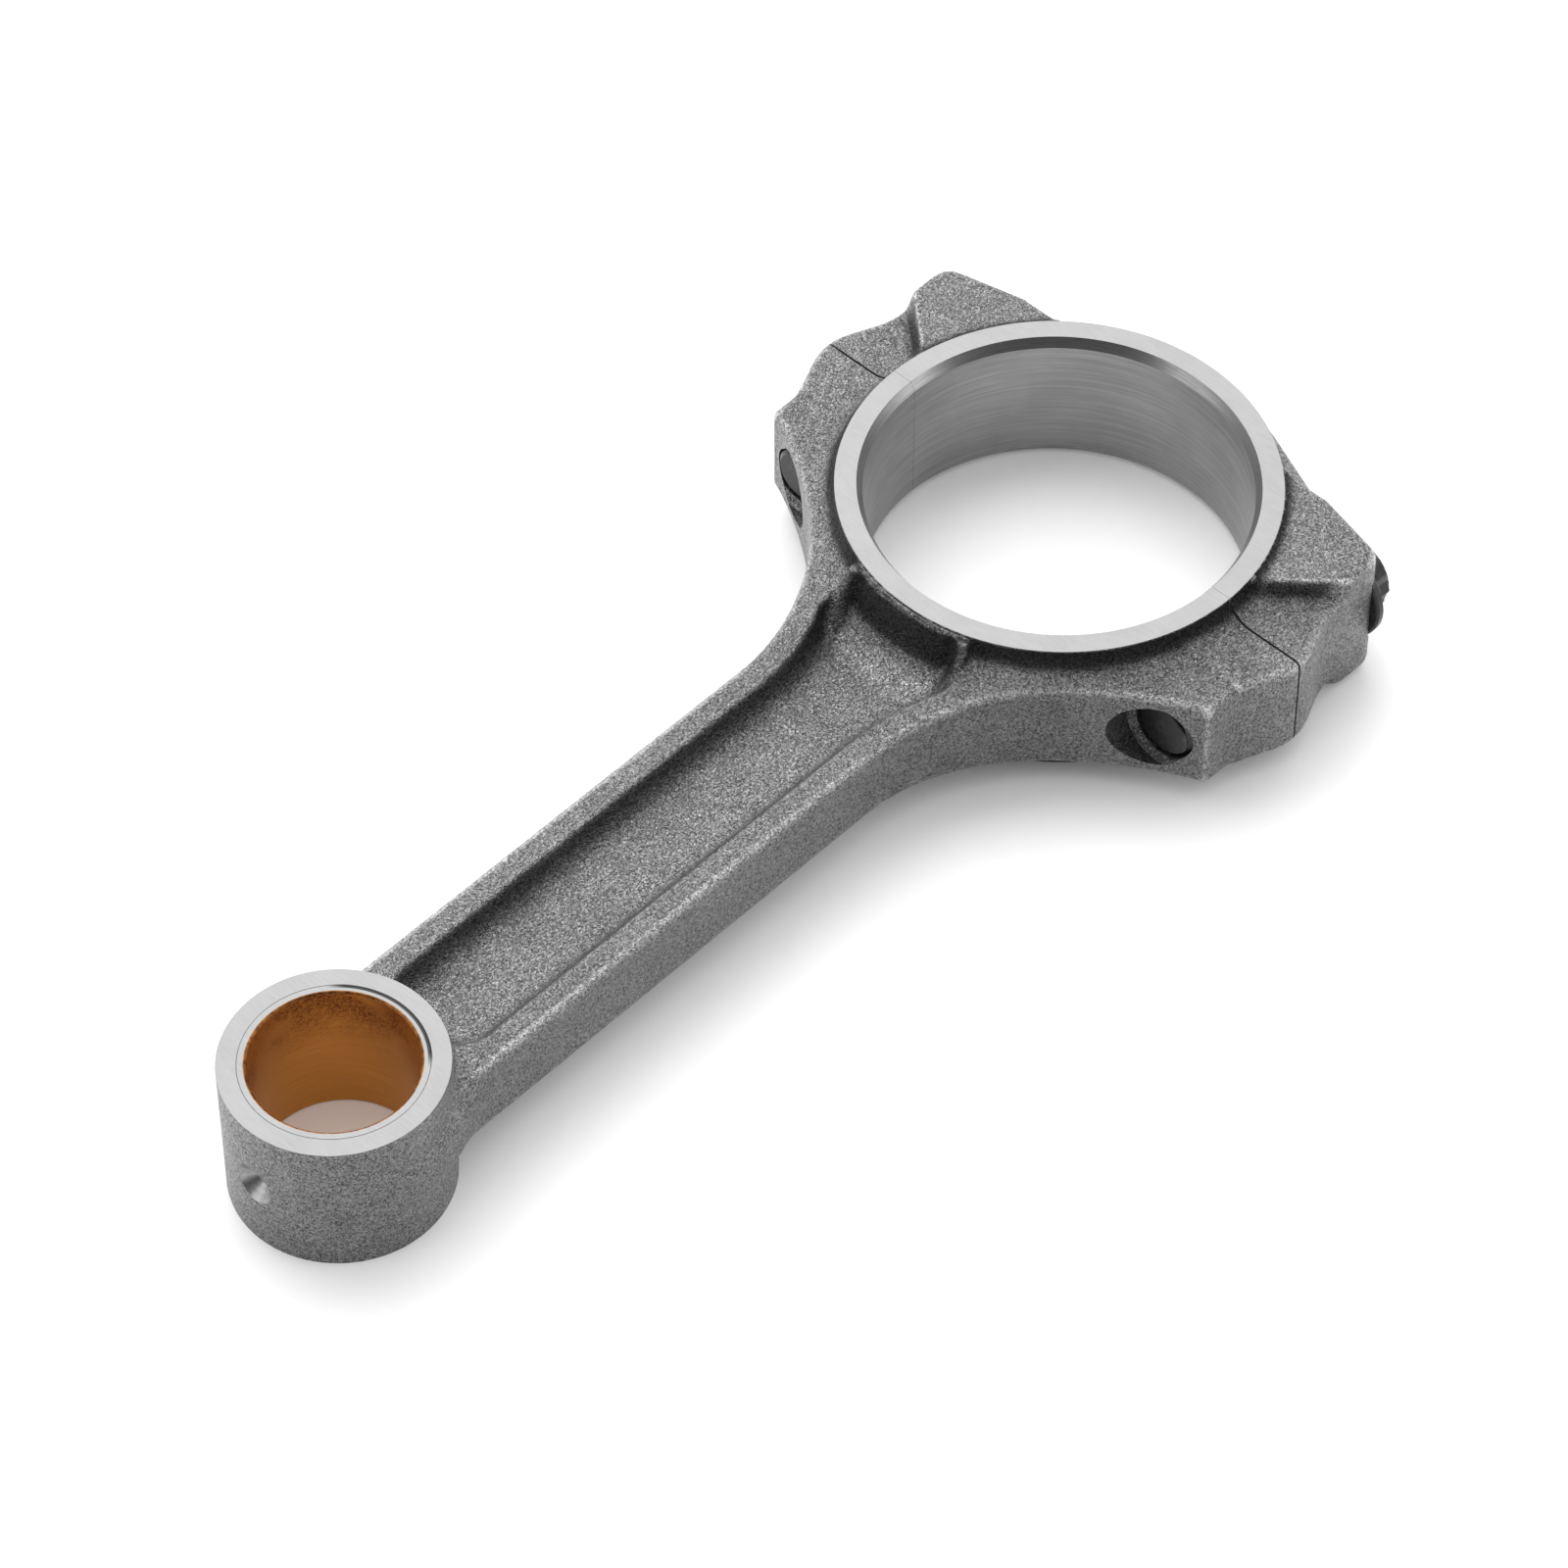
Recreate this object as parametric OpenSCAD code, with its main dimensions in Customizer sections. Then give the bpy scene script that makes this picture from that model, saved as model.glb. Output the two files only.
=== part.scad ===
// Connecting rod for a V8 engine: forged I-beam rod, bolted cap and bushed small end.
// +Z runs along the two bores, +X along the rod towards the cap.
// The origin is the centre of the big-end bore.

/* [Big end] */
// Diameter of the big-end bore, which takes the bearing shells
big_bore_d = 56.5; // [56.3:0.05:56.7]
// Width of the rod across the two machined big-end faces
big_w = 23.88; // [23.4:0.02:24.2]
// Outer diameter of the machined big-end face
big_face_d = 64.6; // [64:0.1:65]
// Axial depth of the chamfer at each end of the big-end bore
big_chamfer = 1.5; // [1:0.1:1.8]
// Thickness of the forging at the joint between rod and cap
pad_t = 16.8; // [16.4:0.1:17.2]
// Thickness of the forging over the cap's screw bosses
boss_t = 22.2; // [21.6:0.1:22.6]
// Width of the rod across the joint
joint_w = 91.6; // [90.8:0.1:92.4]

/* [Small end] */
// Distance between the axes of the two bores
centre_distance = 144.78; // [143.5:0.02:146]
// Outer diameter of the small end
small_d = 31.7; // [31:0.1:32.4]
// Width of the small end
small_w = 23.88; // [23.4:0.02:24.2]
// Diameter of the finished pin bore
pin_bore_d = 23.56; // [23.5:0.01:23.6]
// Outer diameter of the small-end bush
bush_d = 26.06; // [25.8:0.02:26.4]
// Thickness of the bronze lining in the bush
lining_t = 0.37; // [0.3:0.01:0.5]
// Diameter of the oil hole in the tip of the small end
oil_hole_d = 2.4; // [1.6:0.1:3]

/* [Beam] */
// Width of the I-beam
beam_w = 24.9; // [24.3:0.1:25.5]
// Thickness of the I-beam over its flanges
beam_t = 12.4; // [12:0.1:13]
// Width of the flat top of each flange
flange_w = 4.2; // [3.8:0.1:4.6]
// Thickness of the web between the pockets
web_t = 4.8; // [4.2:0.1:5.6]
// Radius along the forging's outer edges
edge_r = 1.1; // [0.8:0.1:1.4]

/* [Cap screws] */
// Distance between the axes of the two cap screws
screw_spacing = 70.6; // [70.2:0.1:71]
// Diameter of the screw thread
screw_d = 9.52; // [9.4:0.01:9.6]
// Length of the screw under its head
screw_len = 37.1; // [36.6:0.1:37.6]
// Distance from the joint to the screw's seat in the cap
seat_x = 20.3; // [20:0.1:20.6]
// Diameter of the screw head's flange
flange_d = 16.8; // [16:0.1:17.2]
// Diameter over the points of the twelve-point head
head_d = 12.6; // [12:0.1:13]
// Height of the screw head, flange included
head_h = 5.9; // [5.4:0.1:6.4]
// Outer diameter of the hollow dowels round the screws
dowel_d = 11.1; // [11:0.02:11.2]
// Length of the hollow dowels
dowel_len = 9.5; // [8:0.1:10]

/* [Hidden] */

eps = 0.02;
steel = [0.42, 0.42, 0.43];
black_oxide = [0.12, 0.12, 0.12];
dowel_steel = [0.62, 0.62, 0.64];
bush_steel = [0.74, 0.74, 0.75];
bronze = [0.66, 0.38, 0.13];

big_r = big_bore_d / 2;
face_r = big_face_d / 2;
big_h = big_w / 2;
small_r = small_d / 2;
small_h = small_w / 2;
beam_hw = beam_w / 2;
beam_h = beam_t / 2;
web_h = web_t / 2;
pad_h = pad_t / 2;
boss_h = boss_t / 2;
joint_hw = joint_w / 2;
screw_y = screw_spacing / 2;
screw_r = screw_d / 2;
dowel_r = dowel_d / 2;
bush_r = bush_d / 2;
pin_r = pin_bore_d / 2;

// Clearance between the screws and the rod, and between the dowels and the cap
running = 0.04;
// How far a cutting solid passes the face it cuts
over = 1;
// Width of the chamfer on the big-end bore
big_chamfer_run = 0.9;

// Plan outline of the rod: the small-end neck, the straight beam, two arcs that
// flare to the shoulder, and a side that swells smoothly towards the joint.
neck_r = 7;
neck_cx = -centre_distance + sqrt((small_r + neck_r) ^ 2 - (beam_hw + neck_r) ^ 2);
neck_x = -centre_distance + (neck_cx + centre_distance) * small_r / (small_r + neck_r);
flare_x = -53.5;
flare_r = 36.5;
flare_turn = 50;
flank_r = 69;
shoulder_x = -15.3;
side_hw = joint_hw - 3.5;
swell_len = 12;
flare_end = [flare_x + flare_r * sin(flare_turn), beam_hw + flare_r * (1 - cos(flare_turn))];
flank_c = flare_end + flank_r * [-sin(flare_turn), cos(flare_turn)];

function swell(x) = (joint_hw - side_hw) * (1 + cos(180 * min(1, abs(x) / swell_len))) / 2;

function rod_half_width(x) =
    x < neck_cx ? beam_hw + neck_r - sqrt(neck_r ^ 2 - (neck_cx - x) ^ 2) :
    x < flare_x ? beam_hw :
    x < flare_end[0] ? beam_hw + flare_r - sqrt(flare_r ^ 2 - (x - flare_x) ^ 2) :
    x < shoulder_x ? flank_c[1] - sqrt(flank_r ^ 2 - (x - flank_c[0]) ^ 2) :
    side_hw + swell(x);

// Smooth step from 0 to 1 while v runs from a to b
function smooth(v, a, b) =
    let (t = min(1, max(0, (v - a) / (b - a))))
    t * t * (3 - 2 * t);

// Half-thickness of the rod forging along its length, pockets left out
pad_rise = 0.4;
lug_h = pad_h - pad_rise;
lug_x = -24;
pad_x = -9.4;
pad_step = 1;
function rod_half_thickness(x) =
    beam_h + (lug_h - beam_h) * smooth(x, flare_x, lug_x)
    + (pad_h - lug_h) * smooth(x, pad_x - pad_step, pad_x);

// Pocket in each face of the beam, with round corners at both ends
pocket_hw = beam_hw - flange_w;
pocket_wall = 2.7;
pocket_overlap = 1.2;
pocket_small_x = -centre_distance + small_r - pocket_overlap;
pocket_small_r = 6.5;
pocket_big_x = -34;
pocket_big_r = 4;
pocket_big_hw = 11.9;

function round_end(d, r) = d >= r ? 0 : r - sqrt(max(0, r ^ 2 - (r - max(0, d)) ^ 2));

function pocket_half_width(x) =
    min(
        max(pocket_hw, min(pocket_big_hw, rod_half_width(x) - flange_w)),
        pocket_big_hw
    )
    - round_end(x - pocket_small_x, pocket_small_r)
    - round_end(pocket_big_x - x, pocket_big_r);

// Depth of the pocket below the flanges; it runs out just past each end
function pocket_floor(x) =
    x < pocket_small_x || x > pocket_big_x ? rod_half_thickness(x) : web_h;

// Quarter section of the rod at x: [y, z] from the middle of the face to mid-height
wall_steps = [for (t = [0:0.2:1]) [(1 - t) ^ 2, t ^ 2]];
edge_steps = [0:22.5:90];

function rod_quarter(x) =
    let (
        w = rod_half_width(x),
        h = rod_half_thickness(x),
        p = pocket_half_width(x),
        f = pocket_floor(x),
        run = min(pocket_wall, p / 2)
    )
    concat(
        [[0, f], [(p - run) / 2, f]],
        [for (s = wall_steps) [p - s[0] * run, f + s[1] * (h - f)]],
        [for (a = edge_steps) [w - edge_r + edge_r * sin(a), h - edge_r + edge_r * cos(a)]]
    );

// Full section from a quarter: mirrored down, then across
function full_section(q) =
    let (n = len(q))
    concat(
        q,
        [for (i = [n - 1:-1:0]) [q[i][0], -q[i][1]]],
        [for (i = [1:n - 1]) [-q[i][0], -q[i][1]]],
        [for (i = [n - 1:-1:1]) [-q[i][0], q[i][1]]]
    );

// Middle of a ring's bounding box
function middle(ring) =
    [for (k = [0:2])
        let (v = [for (p = ring) p[k]])
        (min(v) + max(v)) / 2
    ];

// Solid through a list of rings with the same number of points, closed by a fan at each end
module loft(rings) {
    n = len(rings[0]);
    m = len(rings);
    first_c = n * m;
    last_c = first_c + 1;
    sides = [
        for (j = [0:m - 2], i = [0:n - 1])
            let (k = (i + 1) % n)
            each [
                [j * n + i, j * n + k, (j + 1) * n + i],
                [j * n + k, (j + 1) * n + k, (j + 1) * n + i]
            ]
    ];
    first = [for (i = [0:n - 1]) [(i + 1) % n, i, first_c]];
    last = [for (i = [0:n - 1]) [(m - 1) * n + i, (m - 1) * n + (i + 1) % n, last_c]];
    polyhedron(
        points = concat([for (r = rings) each r], [middle(rings[0]), middle(rings[m - 1])]),
        faces = concat(sides, first, last)
    );
}

function span(a, b, n) = [for (i = [0:n - 1]) a + (b - a) * i / n];

rod_stations = concat(
    span(neck_x, neck_cx, 4),
    span(neck_cx, pocket_small_x - eps, 1),
    [pocket_small_x - eps, pocket_small_x + eps],
    span(pocket_small_x + 0.3, pocket_small_x + pocket_small_r, 7),
    span(pocket_small_x + pocket_small_r, flare_x, 5),
    span(flare_x, pocket_big_x - pocket_big_r, 8),
    span(pocket_big_x - pocket_big_r, pocket_big_x - 0.2, 6),
    [pocket_big_x - 0.2, pocket_big_x - eps, pocket_big_x + eps],
    span(pocket_big_x + 1, shoulder_x, 12),
    [shoulder_x, shoulder_x + 0.5],
    span(-swell_len, 0, 10),
    [0]
);

module rod_body() {
    loft([for (x = rod_stations) [for (p = full_section(rod_quarter(x))) [x, p[0], p[1]]]]);
}

// Fillets that blend the machined ring round the big-end bore into the forging,
// each given by the centre of its arc as [radius, z] and the arc's radius
rod_fillet = [[36.5, 12.2], 4.2];
cap_fillet = [[36.2, 12.2], 3.85];
crown_fillet = [[34.1, 8.3], 1.7];
ramp_r = 9.8;
ramp_fillet = [[face_r + ramp_r, web_h + ramp_r], ramp_r];
fillet_n = 8;
fillet_drop = 0.6;

function arc_to_bottom(c, r, from, n) =
    [for (i = [0:n]) let (a = from + (90 - from) * i / n) [c[0] - r * cos(a), c[1] - r * sin(a)]];

function mirrored(q) = concat(q, [for (i = [len(q) - 1:-1:0]) [q[i][0], -q[i][1]]]);

module ring(start) {
    rotate_extrude(angle = 180, start = start, $fn = 128)
        polygon(mirrored([[big_r - over, big_h], [face_r, big_h]]));
}

// The big-end bore with its two chamfers, as a cutting solid
module big_bore() {
    mouth_r = big_r + big_chamfer_run * (1 + over / big_chamfer);
    rotate_extrude($fn = 128)
        polygon(mirrored([
            [0, big_h + over],
            [mouth_r, big_h + over],
            [big_r, big_h - big_chamfer]
        ]));
}

module fillet_skirt(start, turn, fillet) {
    c = fillet[0];
    r = fillet[1];
    from = asin(max(0, c[1] - big_h + fillet_drop) / r);
    arc = arc_to_bottom(c, r, from, fillet_n);
    rotate_extrude(angle = turn, start = start, $fn = 128)
        polygon(mirrored(concat([[face_r - over, arc[0][1]]], arc)));
}

// Plan outline as a prism that trims the fillets; the outline is one half's [x, y] points
module trim_prism(side) {
    other = [for (i = [len(side) - 1:-1:0]) [side[i][0], -side[i][1]]];
    linear_extrude(big_w, center = true)
        offset(delta = -edge_r / 2)
            polygon(concat(side, other));
}

module along_x(x, y = 0, z = 0) {
    translate([x, y, z])
        rotate([0, 90, 0])
            children();
}

// Tang slots that lock the two bearing shells, cut in the bore at the joint
tang_w = 5;
tang_len = 5.5;
tang_depth = 1.3;
tang_z = 4.5;
module tang_slot(side) {
    translate([side * tang_len / 2, -big_r, tang_z])
        cube([tang_len, 2 * tang_depth, tang_w], center = true);
}

// Threaded hole for a cap screw, drilled wider beyond the screw's tip
hole_drill_r = 5.85;
drill_run = 50;
thread_end_x = seat_x - screw_len;
hole_cone_len = 1.05;
module rod_screw_hole(y) {
    hole_r = screw_r + running;
    along_x(thread_end_x - hole_cone_len - drill_run, y)
        cylinder(h = drill_run, r = hole_drill_r, $fn = 64);
    along_x(thread_end_x - hole_cone_len, y)
        cylinder(h = hole_cone_len, r1 = hole_drill_r, r2 = hole_r, $fn = 64);
    along_x(thread_end_x - eps, y)
        cylinder(h = -thread_end_x + over, r = hole_r, $fn = 64);
    along_x(-dowel_len / 2, y)
        cylinder(h = dowel_len, r = dowel_r, $fn = 64);
}

// Oil hole along the rod into the pin bore, with a cone at its mouth
oil_sink_r = 3.9;
oil_sink_len = 3.2;
oil_sink_out = 0.6;
module oil_hole() {
    tip = -centre_distance - small_r;
    along_x(tip - over)
        cylinder(h = small_r, d = oil_hole_d, $fn = 32);
    along_x(tip - oil_sink_out)
        cylinder(h = oil_sink_len, r1 = oil_sink_r, r2 = oil_hole_d / 2, $fn = 32);
}

module rod_forging() {
    color(steel)
        difference() {
            union() {
                rod_body();
                ring(90);
                intersection() {
                    trim_prism([for (x = rod_stations) [x, rod_half_width(x)]]);
                    union() {
                        fillet_skirt(90, 180, rod_fillet);
                        fillet_skirt(90, 180, ramp_fillet);
                    }
                }
                translate([-centre_distance, 0, -small_h])
                    cylinder(h = small_w, r = small_r, $fn = 96);
            }
            big_bore();
            translate([-centre_distance, 0, -small_h - over])
                cylinder(h = small_w + 2 * over, r = bush_r, $fn = 96);
            for (side = [-1, 1]) rod_screw_hole(side * screw_y);
            tang_slot(-1);
            oil_hole();
        }
}

// Plan outline of the cap: the reach along X at distance y from the middle
crown_r = 35.2;
crown_y = 13.5;
crown_end = [27.3, 25.9];
boss_corner = [25.2, 28.2];
boss_end_x = 22.5;
cap_corner_r = 3.1;
cap_corner_y = side_hw - cap_corner_r;
crown_edge_x = sqrt(crown_r ^ 2 - crown_y ^ 2);

function mix(a, b, t) = a + (b - a) * t;

// Share of the way from a to b
function share(v, a, b) = (v - a) / (b - a);

function corner_reach(y) =
    boss_end_x - cap_corner_r + sqrt(max(0, cap_corner_r ^ 2 - (y - cap_corner_y) ^ 2));

function swell_reach(y) =
    swell_len / 180 * acos(min(1, 2 * share(y, side_hw, joint_hw) - 1));

function cap_reach(y) =
    y < crown_y ? sqrt(crown_r ^ 2 - y ^ 2) :
    y < crown_end[1] ? mix(crown_edge_x, crown_end[0], share(y, crown_y, crown_end[1])) :
    y < boss_corner[1] ? mix(crown_end[0], boss_corner[0], share(y, crown_end[1], boss_corner[1])) :
    y < cap_corner_y ? mix(boss_corner[0], boss_end_x, share(y, boss_corner[1], cap_corner_y)) :
    y < side_hw ? corner_reach(y) :
    swell_reach(y);

// The step up from the joint pad to the screw boss runs obliquely; beyond the boss a lower
// crown follows the ring, with a rib round its middle
crease = [5.1, 33.2];
crease_slope = 0.87;
crease_run = 1.7;
crown_h = 6.6;
crown_fall = 0.1;
crown_steps = [0, 45, 90];
rib_h = 4.6;
rib_edge = 0.7;
rib_reach = 0.4;
rib_y = 15;
rib_fade = 5;

function crease_x(y) = max(0, crease[0] + (y - crease[1]) * crease_slope);
function rib(y) = rib_reach * (1 - smooth(y, rib_y - rib_fade, rib_y));

// Half section of the cap at y: [x, z] from the joint to mid-height
function cap_quarter(y) =
    let (
        reach = cap_reach(y),
        edge = y < boss_corner[1] ? boss_corner[0] : reach,
        beyond_boss = y > side_hw,
        r = min(edge_r, reach / 2),
        ledge_r = min(edge_r, (reach - edge) / 2),
        foot = min(crease_x(y), edge - r - 2 * eps),
        top = beyond_boss ? foot : min(foot + crease_run, edge - r - eps),
        h = beyond_boss ? pad_h : boss_h,
        joint_h = beyond_boss || crease_x(y) == 0 ? h : pad_h,
        ledge_h = min(crown_h, h - r - 2 * crown_fall)
    )
    concat(
        [[0, joint_h], [foot, joint_h], [top, h]],
        [for (a = edge_steps) [edge - r + r * sin(a), h - r + r * cos(a)]],
        [[edge + min(crown_fall, ledge_r), ledge_h + crown_fall]],
        [for (a = crown_steps) [reach - ledge_r + ledge_r * sin(a), ledge_h - r + r * cos(a)]],
        [[reach, rib_h + rib_edge], [reach + rib(y), rib_h], [reach + rib(y), 0]]
    );

crease_start = crease[1] - crease[0] / crease_slope;
cap_half_stations = concat(
    span(0, crown_y, 6),
    span(crown_y, crown_end[1], 4),
    [crown_end[1]],
    [crease_start - eps, crease_start + eps],
    span(boss_corner[1], cap_corner_y, 5),
    span(cap_corner_y, side_hw - eps, 6),
    [side_hw - eps, side_hw + eps],
    [for (i = [1:8]) side_hw + (joint_hw - side_hw) * (1 - (1 - i / 8) ^ 2)]
);
cap_stations = concat(
    [for (i = [len(cap_half_stations) - 1:-1:1]) -cap_half_stations[i]],
    cap_half_stations
);

function cap_section(y) =
    let (q = cap_quarter(abs(y)), n = len(q))
    concat(q, [for (i = [n - 2:-1:0]) [q[i][0], -q[i][1]]]);

module cap_body() {
    loft([for (i = [len(cap_stations) - 1:-1:0])
        let (y = cap_stations[i] * 0.9999)
        [for (p = cap_section(y)) [p[0], y, p[1]]]]);
}

// Angle of the ring that the crown's fillet spans
crown_turn = 120;

// Clearance hole through the cap, with the dowel's counterbore and the spot face
spot_r = 9;
spot_run = 20;
cap_hole_r = 5;
dowel_gap = 0.1;
module cap_screw_hole(y) {
    along_x(-over, y)
        cylinder(h = seat_x + 2 * over, r = cap_hole_r, $fn = 64);
    along_x(-over, y)
        cylinder(h = over + dowel_len / 2 + dowel_gap, r = dowel_r + running, $fn = 64);
    along_x(seat_x, y)
        cylinder(h = spot_run, r = spot_r, $fn = 96);
}

module cap_forging() {
    color(steel)
        difference() {
            union() {
                cap_body();
                ring(-90);
                intersection() {
                    trim_prism([for (y = cap_half_stations) [cap_reach(y), y]]);
                    union() {
                        fillet_skirt(-crown_turn / 2, crown_turn, crown_fillet);
                        fillet_skirt(-90, 90 - crown_turn / 2, cap_fillet);
                        fillet_skirt(crown_turn / 2, 90 - crown_turn / 2, cap_fillet);
                    }
                }
            }
            big_bore();
            for (side = [-1, 1]) cap_screw_hole(side * screw_y);
            tang_slot(1);
        }
}

// Twelve-point flanged cap screw with a reduced shank between thread and head
shank_r = 4.3;
thread_len = 12.5;
fit_len = 6;
screw_chamfer = 0.6;
flange_t = 1.5;
flange_cone = 0.7;
head_chamfer = 0.7;
head_chamfer_run = 1;

module cap_screw_shank(y) {
    tip = seat_x - screw_len;
    along_x(tip, y)
        cylinder(h = screw_chamfer, r1 = screw_r - screw_chamfer, r2 = screw_r, $fn = 64);
    along_x(tip + screw_chamfer, y)
        cylinder(h = thread_len - screw_chamfer, r = screw_r, $fn = 64);
    along_x(tip + thread_len, y)
        cylinder(h = screw_len - thread_len - fit_len, r = shank_r, $fn = 64);
    along_x(seat_x - fit_len, y)
        cylinder(h = fit_len, r = screw_r, $fn = 64);
}

module cap_screw_head(y) {
    along_x(seat_x, y)
        cylinder(h = flange_t, d = flange_d, $fn = 96);
    along_x(seat_x + flange_t, y)
        cylinder(h = flange_cone, d1 = flange_d, d2 = head_d, $fn = 96);
    intersection() {
        along_x(seat_x + flange_t, y)
            linear_extrude(head_h - flange_t)
                for (turn = [0, 30]) rotate(turn) circle(d = head_d, $fn = 6);
        union() {
            along_x(seat_x, y)
                cylinder(h = head_h - head_chamfer, d = head_d + over, $fn = 64);
            along_x(seat_x + head_h - head_chamfer, y)
                cylinder(h = head_chamfer, r1 = head_d / 2, r2 = head_d / 2 - head_chamfer_run, $fn = 64);
        }
    }
}

module cap_screw(y) {
    color(black_oxide) {
        cap_screw_shank(y);
        cap_screw_head(y);
    }
}

module cap_screw_left() cap_screw(screw_y);
module cap_screw_right() cap_screw(-screw_y);

module dowel(y) {
    color(dowel_steel)
        along_x(-dowel_len / 2, y)
            difference() {
                cylinder(h = dowel_len, r = dowel_r, $fn = 64);
                translate([0, 0, -over])
                    cylinder(h = dowel_len + 2 * over, r = cap_hole_r, $fn = 64);
            }
}

module dowel_left() dowel(screw_y);
module dowel_right() dowel(-screw_y);

lining_chamfer = 0.24;
module bush_backing() {
    color(bush_steel)
        difference() {
            translate([-centre_distance, 0, -small_h])
                difference() {
                    cylinder(h = small_w, r = bush_r, $fn = 96);
                    translate([0, 0, -over])
                        cylinder(h = small_w + 2 * over, r = pin_r + lining_t, $fn = 96);
                }
            oil_hole();
        }
}

module bush_lining() {
    color(bronze)
        difference() {
            translate([-centre_distance, 0, 0])
                rotate_extrude($fn = 96)
                    polygon(mirrored([
                        [pin_r + lining_t, small_h],
                        [pin_r + lining_chamfer, small_h],
                        [pin_r, small_h - lining_chamfer]
                    ]));
            oil_hole();
        }
}

rod_forging();
cap_forging();
cap_screw_left();
cap_screw_right();
dowel_left();
dowel_right();
bush_backing();
bush_lining();
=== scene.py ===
# Looks for the connecting rod. Lengths inside the shape code are in millimetres,
# in the CAD frame: +Z along the bores, +X towards the cap, origin at the big-end bore.
import math

import bmesh
import bpy
import numpy as np
from mathutils import Matrix, Vector


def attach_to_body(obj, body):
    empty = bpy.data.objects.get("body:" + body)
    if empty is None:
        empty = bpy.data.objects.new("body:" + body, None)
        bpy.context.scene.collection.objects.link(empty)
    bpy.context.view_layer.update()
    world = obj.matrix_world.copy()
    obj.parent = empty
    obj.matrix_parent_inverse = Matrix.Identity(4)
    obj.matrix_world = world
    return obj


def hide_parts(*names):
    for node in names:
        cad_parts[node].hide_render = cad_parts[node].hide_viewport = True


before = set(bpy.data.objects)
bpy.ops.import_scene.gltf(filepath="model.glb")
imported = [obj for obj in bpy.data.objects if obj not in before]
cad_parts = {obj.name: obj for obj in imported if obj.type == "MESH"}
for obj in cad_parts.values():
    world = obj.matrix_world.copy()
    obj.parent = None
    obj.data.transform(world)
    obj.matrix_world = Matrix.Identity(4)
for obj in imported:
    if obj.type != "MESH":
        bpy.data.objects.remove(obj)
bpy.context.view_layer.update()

MM = 0.001
STEP = 0.4

# ---------------------------------------------------------------- dimensions
BIG_R, FACE_R, FACE_Z = 28.25, 32.35, 11.94
SMALL_X, SMALL_R, BUSH_R, PIN_R = -144.78, 15.85, 13.03, 11.78
BEAM_HW, BEAM_Z, WEB_Z = 12.45, 6.2, 2.4
PAD_Z, LUG_Z, BOSS_Z, CROWN_Z = 8.4, 8.0, 11.1, 6.6
JOINT_HW, SIDE_HW, SWELL = 45.8, 42.3, 12.0
FLARE_X, FLARE_R, FLARE_TURN, FLANK_R = -53.5, 36.5, math.radians(50), 69.0
SHOULDER_X = -15.3
LUG_X, PAD_STEP = -24, (-9.9, -9.2)
POCKET_RUN, POCKET_POWER = 3.3, 1.8
BOSS_X, BOSS_CORNER, CROWN_END = 21.8, (25.2, 28.2), (27.3, 25.9)
CROWN_R, CROWN_Y = 35.2, 13.5
CROWN_STEP_X, CROWN_STEP_Y = (24.3, 25.4), (28.8, 27.6)
RIB_R, RIB_HW, RIB_Z = 35.5, 12.5, 4.6
SCREW_Y, SCREW_R, SEAT_X, SCREW_LEN = 35.3, 4.76, 20.3, 37.1
TIP_X = SEAT_X - SCREW_LEN
DOWEL_IN, DOWEL_OUT, DOWEL_LEN = 5.02, 5.53, 9.5
OIL_R, OIL_LEN = 1.2, 10
EDGE_R = 1.1
PARTING_GAP = 0.02
# Reach of the forging's grid, and of cutters that pass right through it
GRID_X, GRID_Y, GRID_Z = (-161.6, 36.4), 47.5, 13.4
FAR_X, FAR_Y, FAR_Z = 200, 80, 30
# Points round the circles of the big end, the small end and the oil hole
BIG_SEG, SMALL_SEG, OIL_SEG = 256, 192, 48


def smooth(v, a, b):
    t = np.clip((v - a) / (b - a), 0.0, 1.0)
    return t * t * (3 - 2 * t)


def round_max(a, b, r):
    """Intersection of two distance fields with an edge of radius r."""
    return np.minimum(-r, np.maximum(a, b)) + np.hypot(np.maximum(r + a, 0), np.maximum(r + b, 0))


def round_min(a, b, r):
    """Union of two distance fields with a fillet of radius r."""
    return np.maximum(r, np.minimum(a, b)) - np.hypot(np.maximum(r - a, 0), np.maximum(r - b, 0))


def soft_max(a, b, k):
    h = np.maximum(k - np.abs(a - b), 0) / k
    return np.maximum(a, b) + h * h * k / 4


def soft_min(a, b, k):
    return -soft_max(-a, -b, k)


# ---------------------------------------------------------------- plan outlines
def arc(cx, cy, r, a0, a1, n):
    return [(cx + r * math.cos(a), cy + r * math.sin(a)) for a in np.linspace(a0, a1, n)]


def round_corner(p, q, s, r, n=7):
    """Points that replace corner q between p and s by an arc of radius r."""
    p, q, s = (np.array(v, float) for v in (p, q, s))
    u, v = (p - q) / np.linalg.norm(p - q), (s - q) / np.linalg.norm(s - q)
    half = math.acos(np.clip(u @ v, -1, 1)) / 2
    reach = r / math.tan(half)
    c = q + (u + v) / np.linalg.norm(u + v) * r / math.sin(half)
    a, b = q + u * reach - c, q + v * reach - c
    a0, a1 = math.atan2(a[1], a[0]), math.atan2(b[1], b[0])
    turn = (a1 - a0 + math.pi) % (2 * math.pi) - math.pi
    return arc(c[0], c[1], r, a0, a0 + turn, n)


def side_width(x):
    """Half width of the lugs, which swell at the joint."""
    return SIDE_HW + (JOINT_HW - SIDE_HW) * (1 + math.cos(math.pi * min(1, abs(x) / SWELL))) / 2


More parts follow.
